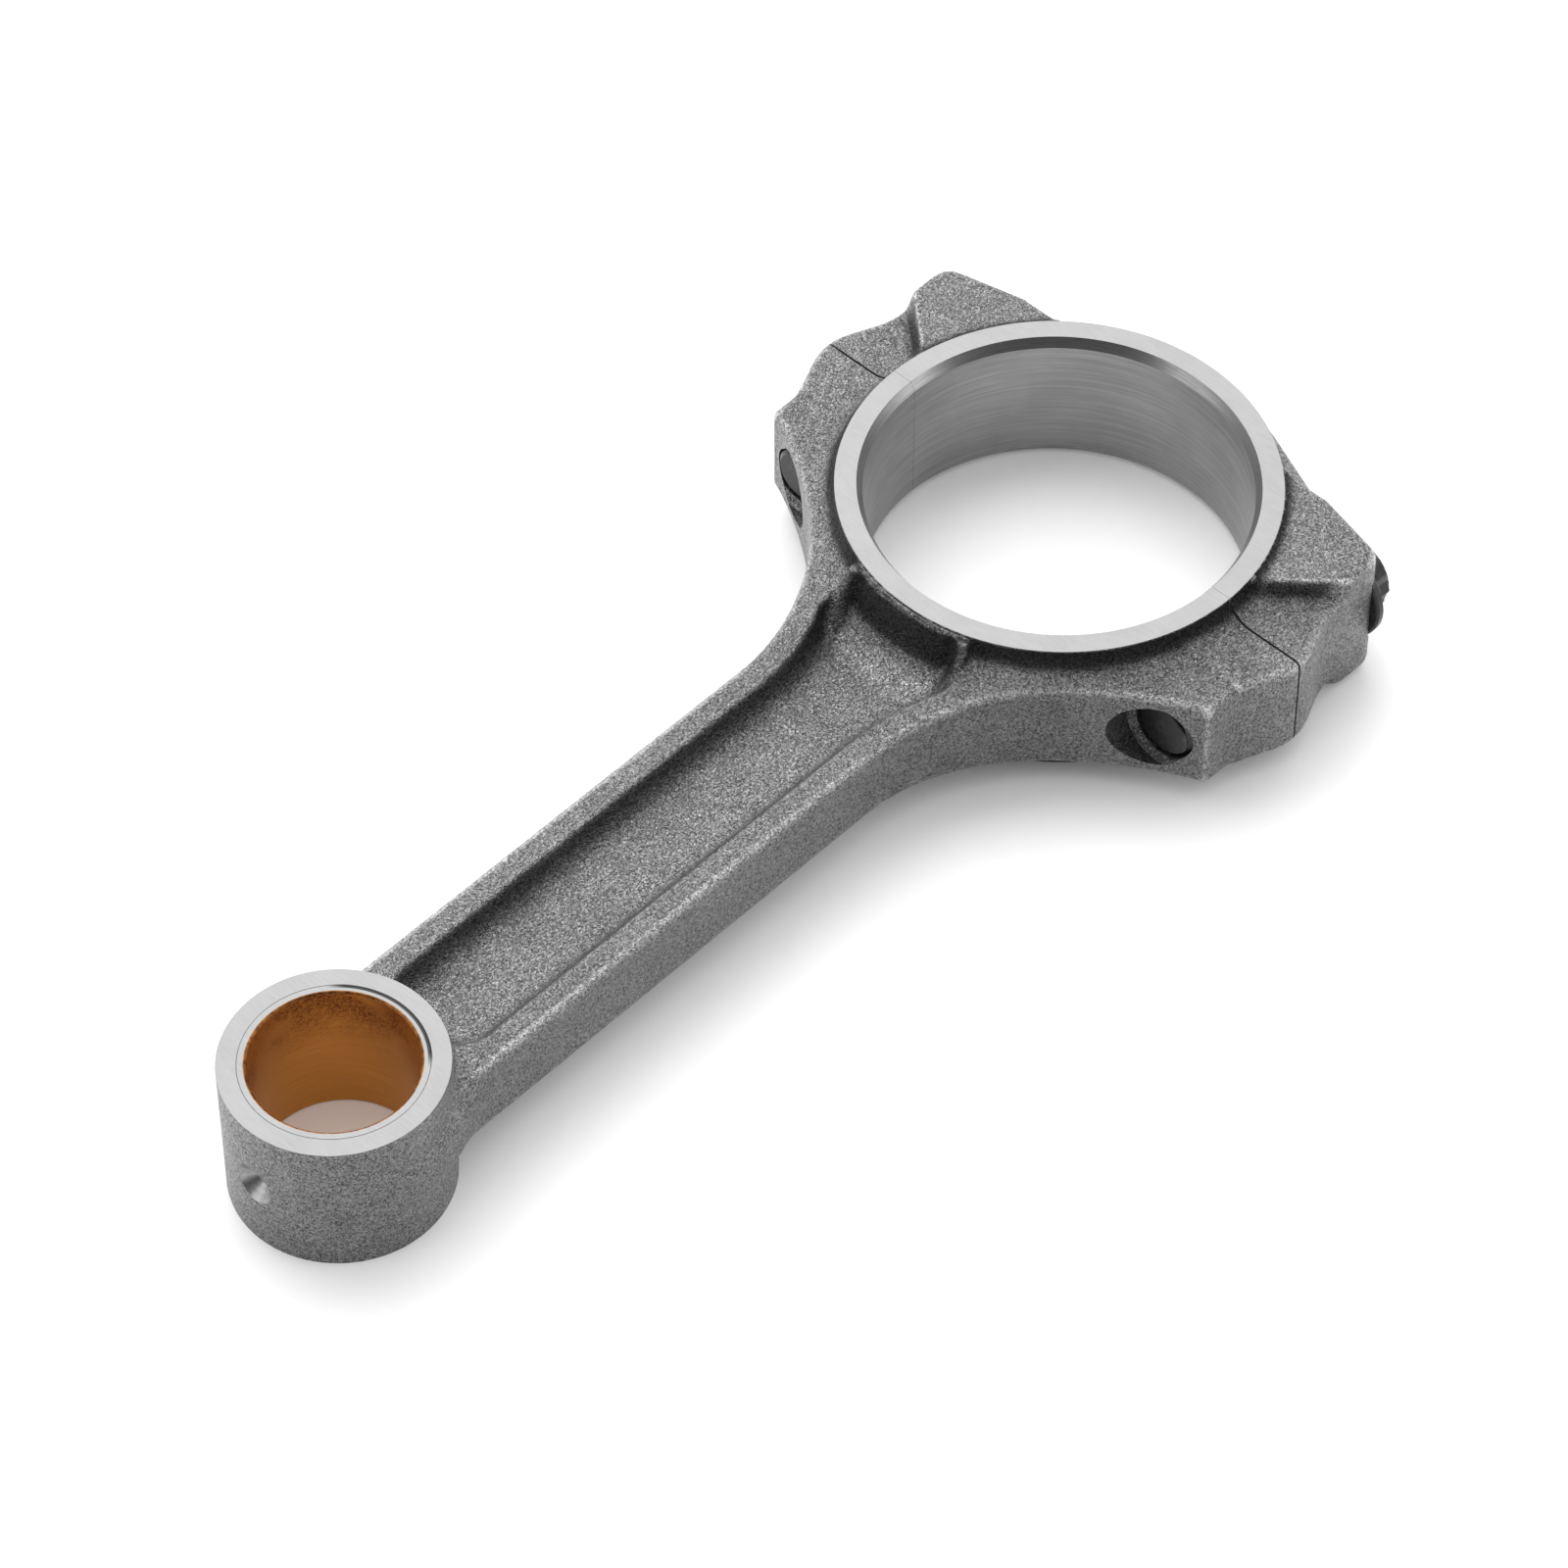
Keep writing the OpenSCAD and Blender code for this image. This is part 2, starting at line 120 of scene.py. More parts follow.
def rod_outline():
    """Half of the forging's plan outline, from the small end round to the crown."""
    turn_sin, turn_cos = math.sin(FLARE_TURN), math.cos(FLARE_TURN)
    flare_end = (FLARE_X + FLARE_R * turn_sin, BEAM_HW + FLARE_R * (1 - turn_cos))
    flank_c = (flare_end[0] - FLANK_R * turn_sin, flare_end[1] + FLANK_R * turn_cos)
    pts = [(SMALL_X, BEAM_HW)]
    pts += arc(FLARE_X, BEAM_HW + FLARE_R, FLARE_R, -math.pi / 2, -math.pi / 2 + FLARE_TURN, 24)
    last = math.acos((SHOULDER_X - flank_c[0]) / FLANK_R)
    flank = arc(flank_c[0], flank_c[1], FLANK_R, FLARE_TURN - math.pi / 2, -last, 24)
    corner = round_corner(flank[-3], (SHOULDER_X, SIDE_HW), (-SWELL, SIDE_HW), 0.9)
    pts += [p for p in flank[1:-1] if p[0] < corner[0][0] - 0.1] + corner
    pts += [(x, side_width(x)) for x in np.linspace(-SWELL, SWELL, 49)]
    pts += round_corner((SWELL, SIDE_HW), (BOSS_X, SIDE_HW), BOSS_CORNER, 3.1)
    pts += round_corner(pts[-1], BOSS_CORNER, CROWN_END, 0.6, 4)
    crown_turn = math.asin(CROWN_Y / CROWN_R)
    pts += round_corner(BOSS_CORNER, CROWN_END, (CROWN_R * math.cos(crown_turn), CROWN_Y), 0.5, 4)
    pts += arc(0, 0, CROWN_R, crown_turn, 0, 24)
    return pts


def mirrored(pts):
    return np.array(pts + [(x, -y) for x, y in reversed(pts) if y > 1e-6])


def pocket_outline():
    """Top edge of the pocket in the beam."""
    start, end_r, hw, wide = SMALL_X + 14.4, 31.6, 8.35, 11.9
    start_r, flange = 6.5, 4.2
    pts = arc(start + start_r, hw - start_r, start_r, math.pi, math.pi / 2, 12)
    for x in np.linspace(-70, -36.4, 30):
        d = FLARE_R ** 2 - max(0, x - FLARE_X) ** 2
        w = BEAM_HW + FLARE_R - math.sqrt(d) - flange
        pts.append((x, min(wide, max(hw, w))))
    y1 = pts[-1][1]
    corner = (-math.sqrt(end_r ** 2 - y1 ** 2), y1)
    pts += round_corner(pts[-1], corner, (-end_r, 1.0), 3.4, 8)
    turn = math.asin(pts[-1][1] / end_r)
    pts += arc(0, 0, end_r, math.pi - turn + 0.05, math.pi, 8)
    return pts


def polygon_distance(poly, x, y):
    """Signed distance to a closed polygon, negative inside."""
    best = np.full(x.shape, np.inf)
    inside = np.zeros(x.shape, bool)
    for (ax, ay), (bx, by) in zip(poly, np.roll(poly, -1, axis=0)):
        ex, ey = bx - ax, by - ay
        t = np.clip(((x - ax) * ex + (y - ay) * ey) / max(ex * ex + ey * ey, 1e-12), 0, 1)
        best = np.minimum(best, (x - ax - t * ex) ** 2 + (y - ay - t * ey) ** 2)
        if ay != by:
            inside ^= ((ay > y) != (by > y)) & (x < ax + (y - ay) * ex / ey)
    return np.where(inside, -1, 1) * np.sqrt(best)


# ---------------------------------------------------------------- the forging
def top_height(x, y, pocket):
    """Height of the forging's upper face, the ring left out."""
    h = BEAM_Z + (LUG_Z - BEAM_Z) * smooth(x, FLARE_X, LUG_X)
    h = h + (PAD_Z - LUG_Z) * smooth(x, *PAD_STEP)
    # The step up from the pad to the screw boss runs obliquely
    foot_x, foot_y, foot_slope = 5.1, 33.2, 0.87
    foot = np.maximum(0, foot_x + (y - foot_y) * foot_slope)
    boss = smooth(x, foot - 0.4, foot + 2.1)
    cap = BOSS_Z + (CROWN_Z - BOSS_Z) * smooth(x, *CROWN_STEP_X) * smooth(y, *CROWN_STEP_Y)
    h = np.where(x > 0, h + (cap - h) * boss, h)
    wall = WEB_Z + (h - WEB_Z) * np.maximum(0, 1 + pocket / POCKET_RUN) ** POCKET_POWER
    return soft_min(h, wall, 1.0)


def forging_field(x, y, z):
    """Distance-like field of the whole forging, on a quarter grid."""
    X, Y = np.meshgrid(x, y, indexing="ij")
    outline = polygon_distance(mirrored(rod_outline()), X, Y)
    pocket = polygon_distance(mirrored(pocket_outline()), X, Y)
    height = top_height(X, Y, pocket)
    gx, gy = np.gradient(height, x[1] - x[0])
    slope = np.sqrt(1 + gx ** 2 + gy ** 2)
    ring = np.hypot(X, Y) - FACE_R
    boss = np.hypot(X - SMALL_X, Y) - SMALL_R
    # The ring's fillet grows with its height. It narrows where the lug leaves it little room,
    # and on the steep step from the bosses down to the crown
    crown_x, rib_x, small_end_x = 20, 10, -100
    fillet_z, fillet_min, fillet_max = 12.5, 0.9, 9.8
    fillet = np.clip(fillet_z - height, fillet_min, fillet_max)
    fillet = np.minimum(fillet, np.maximum(0.4, (ring - outline) * 0.9))
    fillet = np.where(X > crown_x, np.minimum(fillet, 6.0 / slope ** 1.3), fillet)
    rib_plan = round_max(np.hypot(X, Y) - RIB_R, np.abs(Y) - RIB_HW, 2.0)
    rib_plan = np.maximum(rib_plan, crown_x - X)
    rib_blend, shoulder_z, neck_r, neck_more = 0.8, 11.6, 2.2, 4.3
    field = np.empty((len(x), len(y), len(z)), np.float32)
    for k, zk in enumerate(z):
        top = (zk - height) / slope
        body = round_max(round_min(top, ring, fillet), outline, EDGE_R)
        body = np.minimum(np.maximum(body, zk - shoulder_z), ring)
        rib = round_max(rib_plan, np.full_like(X, zk - RIB_Z), rib_blend)
        body = np.where(X > rib_x, round_min(body, rib, rib_blend), body)
        # The beam blends into the small end more widely near the mid-plane
        neck = neck_r + neck_more * (1 - smooth(zk, 2.0, 6.2))
        body = np.where(X < small_end_x, round_min(body, boss, neck), body)
        field[:, :, k] = body
    return field


def surface_nets(field, origin, h):
    """Quad mesh of the zero level of a field, one vertex per crossed cell."""
    inside = field < 0
    nx, ny, nz = field.shape
    corners = [(i, j, k) for i in (0, 1) for j in (0, 1) for k in (0, 1)]
    count = np.zeros((nx - 1, ny - 1, nz - 1), np.uint8)
    for i, j, k in corners:
        count += inside[i:nx - 1 + i, j:ny - 1 + j, k:nz - 1 + k]
    active = (count > 0) & (count < 8)
    cell = np.argwhere(active)
    index = np.full(active.shape, -1, np.int32)
    index[active] = np.arange(len(cell), dtype=np.int32)
    value = {c: field[cell[:, 0] + c[0], cell[:, 1] + c[1], cell[:, 2] + c[2]] for c in corners}
    total = np.zeros((len(cell), 3))
    crossings = np.zeros(len(cell))
    for corner in corners:
        for axis in range(3):
            if corner[axis]:
                continue
            other = list(corner)
            other[axis] = 1
            a, b = value[corner], value[tuple(other)]
            hit = (a < 0) != (b < 0)
            point = np.tile(np.array(corner, float), (len(cell), 1))
            point[:, axis] += np.where(hit, a / np.where(hit, a - b, 1), 0)
            total[hit] += point[hit]
            crossings[hit] += 1
    verts = (cell + total / crossings[:, None]) * h + origin
    faces = []
    for axis in range(3):
        low = [slice(1, size - 1) for size in field.shape]
        high = list(low)
        low[axis], high[axis] = slice(0, field.shape[axis] - 1), slice(1, field.shape[axis])
        below, above = inside[tuple(low)], inside[tuple(high)]
        edge = np.argwhere(below != above)
        flip = below[tuple(edge.T)]
        u, v = [q for q in range(3) if q != axis]
        edge[:, u] += 1
        edge[:, v] += 1
        quad = []
        for du, dv in ((-1, -1), (0, -1), (0, 0), (-1, 0)):
            near = edge.copy()
            near[:, u] += du
            near[:, v] += dv
            quad.append(index[tuple(near.T)])
        quad = np.stack(quad, 1)
        if axis == 1:
            flip = ~flip
        quad[~flip] = quad[~flip][:, ::-1]
        faces.append(quad)
    return verts, np.concatenate(faces)


def forging_mesh():
    """The whole forging: the field of one quarter, mirrored across Y and Z."""
    h, outside = STEP, 5.0
    x = np.arange(*GRID_X, h)
    y = np.arange(h / 2, GRID_Y, h)
    z = np.arange(h / 2, GRID_Z, h)
    q = forging_field(x, y, z)
    q = np.concatenate([q[:, ::-1], q], axis=1)
    q = np.concatenate([q[:, :, ::-1], q], axis=2)
    q = np.pad(q, 1, constant_values=outside)
    return surface_nets(q, np.array([x[0] - h, -y[-1] - h, -z[-1] - h]), h)


# ---------------------------------------------------------------- mesh helpers
def make_object(name, verts, faces, mats=(), face_mats=None):
    """Smooth-shaded object from points in millimetres; mats are its material slots."""
    mesh = bpy.data.meshes.new(name)
    verts = np.asarray(verts, float) * MM
    if isinstance(faces, np.ndarray):
        mesh.vertices.add(len(verts))
        mesh.vertices.foreach_set("co", verts.ravel())
        n = faces.shape[1]
        mesh.loops.add(faces.size)
        mesh.loops.foreach_set("vertex_index", faces.ravel())
        mesh.polygons.add(len(faces))
        mesh.polygons.foreach_set("loop_start", np.arange(0, faces.size, n))
        mesh.polygons.foreach_set("loop_total", np.full(len(faces), n))
        mesh.update(calc_edges=True)
        mesh.validate()
    else:
        mesh.from_pydata(verts.tolist(), [], faces)
    for m in mats:
        mesh.materials.append(m)
    if face_mats is not None:
        mesh.polygons.foreach_set("material_index", np.asarray(face_mats, np.int32))
    obj = bpy.data.objects.new(name, mesh)
    bpy.context.scene.collection.objects.link(obj)
    mesh.shade_smooth()
    return obj


def outward(mesh):
    """Turns every face of a closed mesh to face outward."""
    bm = bmesh.new()
    bm.from_mesh(mesh)
    bmesh.ops.recalc_face_normals(bm, faces=bm.faces)
    bm.to_mesh(mesh)
    bm.free()


def revolve(profile, seg=SMALL_SEG, mats=None, closed=True):
    """Turns [radius, height] points about Z; mats gives a material slot to each of the
    profile's edges. Points on the axis become one vertex."""
    verts, rings, faces, fm = [], [], [], []
    for r, z in profile:
        if r < 1e-6:
            rings.append([len(verts)])
            verts.append((0, 0, z))
        else:
            rings.append(list(range(len(verts), len(verts) + seg)))
            for i in range(seg):
                a = 2 * math.pi * i / seg
                verts.append((r * math.cos(a), r * math.sin(a), z))
    n = len(profile)
    for j in range(n if closed else n - 1):
        a, b = rings[j], rings[(j + 1) % n]
        if len(a) == 1 and len(b) == 1:
            continue
        for i in range(seg):
            k = (i + 1) % seg
            if len(a) == 1:
                f = [a[0], b[k], b[i]]
            elif len(b) == 1:
                f = [a[i], a[k], b[0]]
            else:
                f = [a[i], a[k], b[k], b[i]]
            faces.append(f)
            fm.append(0 if mats is None else mats[j])
    return np.array(verts, float), faces, fm


Z_TO_X = np.array([[0, 0, 1], [1, 0, 0], [0, 1, 0]], float)


def place(verts, at, rot=None):
    verts = np.asarray(verts, float)
    if rot is not None:
        verts = verts @ rot.T
    return verts + np.array(at, float)


def along(profile, x, y, seg=96, mats=None, closed=False):
    """Solid of revolution about an X-parallel axis; profile heights run along +X from x."""
    verts, faces, face_mats = revolve(profile, seg, mats, closed)
    return place(verts, (x, y, 0), Z_TO_X), faces, face_mats


def box(lo, hi):
    verts = [(x, y, z) for x in (lo[0], hi[0]) for y in (lo[1], hi[1]) for z in (lo[2], hi[2])]
    faces = [[0, 1, 3, 2], [4, 6, 7, 5], [0, 4, 5, 1], [2, 3, 7, 6], [0, 2, 6, 4], [1, 5, 7, 3]]
    return np.array(verts, float), faces


def cut(obj, verts, faces, face_mats=None, slot=0):
    """Cuts a closed solid out of obj; the new faces take the cutter's material slot."""
    fm = [slot] * len(faces) if face_mats is None else face_mats
    tool = make_object("tool", verts, faces, list(obj.data.materials), fm)
    outward(tool.data)
    mod = obj.modifiers.new("cut", "BOOLEAN")
    mod.operation = "DIFFERENCE"
    mod.solver = "MANIFOLD"
    mod.object = tool
    dg = bpy.context.evaluated_depsgraph_get()
    mesh = bpy.data.meshes.new_from_object(
        obj.evaluated_get(dg), preserve_all_data_layers=True, depsgraph=dg)
    obj.modifiers.clear()
    old = obj.data
    obj.data = mesh
    mesh.name = old.name
    bpy.data.meshes.remove(old)
    data = tool.data
    bpy.data.objects.remove(tool)
    bpy.data.meshes.remove(data)


# ---------------------------------------------------------------- materials
class Graph:
    """Short-hand for building a material's nodes; coordinates are the piece's own, in millimetres."""

    def __init__(self, name):
        self.mat = bpy.data.materials.new(name)
        self.mat.use_nodes = True
        self.tree = self.mat.node_tree
        self.tree.nodes.clear()
        out = self.add("ShaderNodeOutputMaterial")
        self.bsdf = self.add("ShaderNodeBsdfPrincipled")
        self.link(self.bsdf.outputs[0], out.inputs[0])
        coord = self.add("ShaderNodeTexCoord")
        scale = self.add("ShaderNodeVectorMath", operation="SCALE")
        scale.inputs["Scale"].default_value = 1000.0
        self.link(coord.outputs["Object"], scale.inputs[0])
        self.pos = scale.outputs[0]

    def add(self, kind, **props):
        node = self.tree.nodes.new(kind)
        for k, v in props.items():
            setattr(node, k, v)
        return node

    def link(self, a, b):
        self.tree.links.new(a, b)

    def set(self, **values):
        for k, v in values.items():
            self.bsdf.inputs[k.replace("_", " ")].default_value = v

    def stretch(self, scale, rot=(0, 0, 0)):
        node = self.add("ShaderNodeMapping")
        node.inputs["Rotation"].default_value = rot
        node.inputs["Scale"].default_value = scale
        self.link(self.pos, node.inputs["Vector"])
        return node.outputs[0]

    def noise(self, scale, detail=2.0, rough=0.5, warp=0.0, source=None):
        node = self.add("ShaderNodeTexNoise")
        node.inputs["Scale"].default_value = scale
        node.inputs["Detail"].default_value = detail
        node.inputs["Roughness"].default_value = rough
        node.inputs["Distortion"].default_value = warp
        self.link(source or self.pos, node.inputs["Vector"])
        return node.outputs["Fac"]

    def cells(self, scale):
        node = self.add("ShaderNodeTexVoronoi", feature="F1")
        node.inputs["Scale"].default_value = scale
        self.link(self.pos, node.inputs["Vector"])
        return node.outputs["Distance"]

    def math(self, op, a, b=None, c=None):
        node = self.add("ShaderNodeMath", operation=op)
        for i, v in enumerate((a, b, c)):
            if v is None:
                continue
            if isinstance(v, (int, float)):
                node.inputs[i].default_value = v
            else:
                self.link(v, node.inputs[i])
        return node.outputs[0]

    def span(self, v, a, b, lo=0.0, hi=1.0, curve="SMOOTHSTEP"):
        node = self.add("ShaderNodeMapRange", interpolation_type=curve)
        node.inputs["From Min"].default_value = a
        node.inputs["From Max"].default_value = b
        node.inputs["To Min"].default_value = lo
        node.inputs["To Max"].default_value = hi
        self.link(v, node.inputs["Value"])
        return node.outputs["Result"]

    def mix(self, fac, a, b):
        node = self.add("ShaderNodeMix", data_type="RGBA")
        if isinstance(fac, (int, float)):
            node.inputs["Factor"].default_value = fac
        else:
            self.link(fac, node.inputs["Factor"])
        for socket, v in ((node.inputs[6], a), (node.inputs[7], b)):
            if isinstance(v, tuple):
                socket.default_value = v + (1.0,)
            else:
                self.link(v, socket)
        return node.outputs[2]

    def scaled(self, colour, amount):
        node = self.add("ShaderNodeVectorMath", operation="SCALE")
        self.link(colour, node.inputs[0])
        self.link(amount, node.inputs["Scale"])
        return node.outputs[0]

    def split(self):
        node = self.add("ShaderNodeSeparateXYZ")
        self.link(self.pos, node.inputs[0])
        return node.outputs

    def join(self, x, y, z):
        node = self.add("ShaderNodeCombineXYZ")
        for i, v in enumerate((x, y, z)):
            if isinstance(v, (int, float)):
                node.inputs[i].default_value = v
            else:
                self.link(v, node.inputs[i])
        return node.outputs[0]

    def around(self, cx):
        """(angle, height, radius, X offset) round a Z axis at x = cx."""
        x, y, height = self.split()
        dx = self.math("SUBTRACT", x, cx)
        angle = self.math("ARCTAN2", y, dx)
        squares = self.math("MULTIPLY", dx, dx), self.math("MULTIPLY", y, y)
        return angle, height, self.math("SQRT", self.math("ADD", *squares)), dx

    def attribute(self, name):
        return self.add("ShaderNodeAttribute", attribute_name=name).outputs["Fac"]

    def colour(self, v):
        self.link(v, self.bsdf.inputs["Base Color"])

    def rough(self, v):
        if isinstance(v, (int, float)):
            self.bsdf.inputs["Roughness"].default_value = v
        else:
            self.link(v, self.bsdf.inputs["Roughness"])

    def bump(self, height, depth, strength=1.0):
        """depth is the relief in millimetres for a height of 1."""
        node = self.add("ShaderNodeBump")
        node.inputs["Strength"].default_value = strength
        node.inputs["Distance"].default_value = depth * MM
        self.link(height, node.inputs["Height"])
        self.link(node.outputs[0], self.bsdf.inputs["Normal"])


def grey(v):
    return (v, v, v)


def forged_steel():
    """Blasted forging skin: fine grain, bright worn edges, painted glints, painted shade on steep
    walls and in creases, and painted light on the pocket's floor.
    """
    g = Graph("forged_steel")
    g.set(Metallic=0.92)
    worms = g.noise(2.9, 1.0, 0.5, 1.2)
    fine = g.noise(6.5, 1.0, 0.5)
    broad = g.noise(0.16, 2.0, 0.5)
    grain = g.math("MULTIPLY_ADD", fine, 0.4, worms)
    tone = g.mix(g.span(grain, 0.52, 0.88), grey(0.060), grey(0.280))
    tone = g.scaled(tone, g.span(broad, 0.3, 0.7, 0.92, 1.08))
    # Painted shading scales the tone: darker under painted shade, lighter under painted light
    tone = g.scaled(tone, g.span(g.attribute("painted_shading"), -1.0, 1.2, 1.90, 0.10, "LINEAR"))
    # Painted glints: random specks of painted highlight, fewer where painted shade lies
    glint = g.span(g.noise(4.2, 0.0, 0.5, 0.6), 0.66, 0.74)
    glint = g.math("MULTIPLY", glint, g.span(g.attribute("painted_shading"), 0.1, 0.9, 0.4, 0.04))
    worn = g.math("MULTIPLY", g.attribute("edge"), g.span(worms, 0.42, 0.58, 0.25, 1.0))
    tone = g.mix(g.math("MAXIMUM", glint, worn), tone, grey(0.62))
    g.colour(tone)
    g.rough(g.span(grain, 0.4, 0.9, 0.48, 0.28))
    g.bump(grain, 0.34, 1.0)
    return g.mat


def ground_face():
    """Ground end faces, with the dark seam line of the bush's press fit, painted as shade only round
    the part of the bush towards the big end.
    """
    g = Graph("ground_face")
    g.set(Metallic=0.9)
    lines = g.noise(3.0, 3.0, 0.6, 0.0, g.stretch((5.0, 0.12, 1.0), rot=(0, 0, 0.5)))
    cloud = g.noise(0.22, 3.0, 0.55)
    _, _, radius, dx = g.around(SMALL_X)
    # Dark press-fit line with painted shade: drawn only on the arc towards the big end
    seam_shade = g.math("ABSOLUTE", g.math("SUBTRACT", radius, BUSH_R - 0.12))
    seam_shade = g.span(seam_shade, 0.20, 0.36, 1.0, 0.0)
    seam_shade = g.math("MULTIPLY", seam_shade, g.span(g.math("DIVIDE", dx, radius), 0.62, 0.78))
    pits = g.span(g.cells(0.55), 0.02, 0.06, 1.0, 0.0)
    rare = g.span(g.noise(0.9, 0.0), 0.60, 0.66)
    pits = g.math("MULTIPLY", pits, rare)
    tone = g.mix(g.span(lines, 0.35, 0.65), grey(0.205), grey(0.235))
    tone = g.scaled(tone, g.span(cloud, 0.3, 0.7, 0.95, 1.04))
    tone = g.mix(pits, tone, grey(0.2))
    tone = g.mix(seam_shade, tone, grey(0.03))
    g.colour(tone)
    g.rough(g.span(cloud, 0.3, 0.7, 0.36, 0.46))
    g.bump(lines, 0.006, 0.5)
    return g.mat


def turned(name, cx, lo, hi, rough_lo, rough_hi, pitch):
    """Turned or honed wall round a Z axis at cx, with marks that run round it."""
    g = Graph(name)
    g.set(Metallic=0.95)
    angle, height, radius, _ = g.around(cx)
    run = g.math("ADD", height, radius)
    rings = g.noise(pitch, 3.0, 0.6, 0.0, g.join(g.math("MULTIPLY", angle, 0.5), run, 0.0))
    crossed = g.join(g.math("MULTIPLY", angle, 6.0), g.math("MULTIPLY", run, 2.4), 3.0)
    hatch = g.noise(1.2, 3.0, 0.6, 0.0, crossed)
    cloud = g.noise(0.12, 3.0, 0.5)
    both = g.math("MULTIPLY_ADD", hatch, 0.4, rings)
    tone = g.mix(g.span(both, 0.45, 0.95), grey(lo), grey(hi))
    tone = g.scaled(tone, g.span(cloud, 0.3, 0.7, 0.94, 1.05))
    g.colour(tone)
    g.rough(g.span(both, 0.5, 0.9, rough_lo, rough_hi))
    g.bump(both, 0.004, 0.6)
    return g.mat


def joint_face():
    g = Graph("joint_face")
    g.set(Metallic=0.9)
    lines = g.noise(3.0, 3.0, 0.6, 0.0, g.stretch((1.0, 0.06, 3.0)))
    g.colour(g.mix(g.span(lines, 0.35, 0.65), grey(0.26), grey(0.36)))
    g.rough(g.span(lines, 0.35, 0.65, 0.42, 0.34))
    g.bump(lines, 0.006, 0.5)
    return g.mat


# Walls of drilled and threaded holes: rough metal, painted near black as painted shade inside the
# holes
def drilled():
    g = Graph("drilled")
    g.set(Metallic=0.7)
    rough = g.noise(1.6, 3.0, 0.6, 1.2)
    g.colour(g.mix(g.span(rough, 0.35, 0.7), grey(0.02), grey(0.12)))
    g.rough(0.5)
    g.bump(rough, 0.35, 0.9)
    return g.mat


def bronze():
    """Bore of the bush, stained darker towards its upper end."""
    g = Graph("bronze")
    g.set(Metallic=0.85)
    angle, height, _, _ = g.around(SMALL_X)
    patch = g.noise(0.16, 3.0, 0.55, 0.4)
    high = g.span(height, -1.0, 11.0)
    grain = g.noise(3.2, 2.0, 0.6, 0.8)
    round_wall = g.join(g.math("MULTIPLY", angle, 0.6), g.math("MULTIPLY", height, 2.0), 0.0)
    lines = g.noise(2.0, 2.0, 0.5, 0.0, round_wall)
    stain = g.math("MULTIPLY", g.span(patch, 0.38, 0.60), high)
    stain = g.math("MULTIPLY", stain, g.span(grain, 0.42, 0.60, 0.15, 1.0))
    tone = g.mix(g.span(lines, 0.3, 0.7), (0.50, 0.225, 0.042), (0.57, 0.268, 0.054))
    tone = g.mix(stain, tone, (0.17, 0.052, 0.008))
    g.colour(tone)
    g.rough(g.math("MULTIPLY_ADD", stain, 0.16, 0.36))
    g.bump(g.math("MULTIPLY_ADD", lines, 0.4, grain), 0.02, 0.5)
    return g.mat


def bronze_rim():
    g = Graph("bronze_rim")
    g.set(Metallic=0.8)
    n = g.noise(1.2, 2.0, 0.5)
    g.colour(g.mix(g.span(n, 0.3, 0.7), (0.10, 0.035, 0.008), (0.30, 0.12, 0.03)))
    g.rough(g.span(n, 0.3, 0.7, 0.35, 0.5))
    return g.mat


def black_oxide():
    g = Graph("black_oxide")
    g.set(Metallic=0.55)
    n = g.noise(1.4, 3.0, 0.6)
    rub = g.span(g.noise(0.5, 3.0, 0.6), 0.56, 0.72)
    tone = g.mix(g.span(n, 0.35, 0.65), grey(0.018), grey(0.034))
    g.colour(g.mix(g.math("MULTIPLY", rub, 0.35), tone, grey(0.10)))
    g.rough(g.span(n, 0.35, 0.65, 0.30, 0.42))
    g.bump(n, 0.01, 0.5)
    return g.mat


def dowel_steel():
    g = Graph("dowel_steel")
    g.set(Metallic=0.95)
    lines = g.noise(4.0, 2.0, 0.5, 0.0, g.stretch((2.5, 0.1, 0.1)))
    g.colour(g.mix(g.span(lines, 0.35, 0.65), grey(0.52), grey(0.64)))
    g.rough(g.span(lines, 0.35, 0.65, 0.30, 0.40))
    g.bump(lines, 0.005, 0.5)
    return g.mat


def floor_paper():
    g = Graph("floor_paper")
    n = g.noise(0.05, 3.0, 0.5)
    g.colour(g.mix(n, grey(0.90), grey(0.93)))
    g.rough(0.75)
    g.set(Specular_IOR_Level=0.1, Emission_Strength=0.08)
    g.bsdf.inputs["Emission Color"].default_value = (1, 1, 1, 1)
    return g.mat


M_FORGED, M_GROUND, M_JOINT, M_DRILLED_SHADED = forged_steel(), ground_face(), joint_face(), drilled()
M_BORE = turned("big_bore_wall", 0.0, 0.28, 0.345, 0.44, 0.36, 2.2)
M_CHAMFER = turned("chamfer", 0.0, 0.27, 0.46, 0.42, 0.30, 4.5)
FORGED, GROUND, BORE, CHAMFER, JOINT, DRILLED_SHADED = range(6)
FORGING_MATS = [M_FORGED, M_GROUND, M_BORE, M_CHAMFER, M_JOINT, M_DRILLED_SHADED]


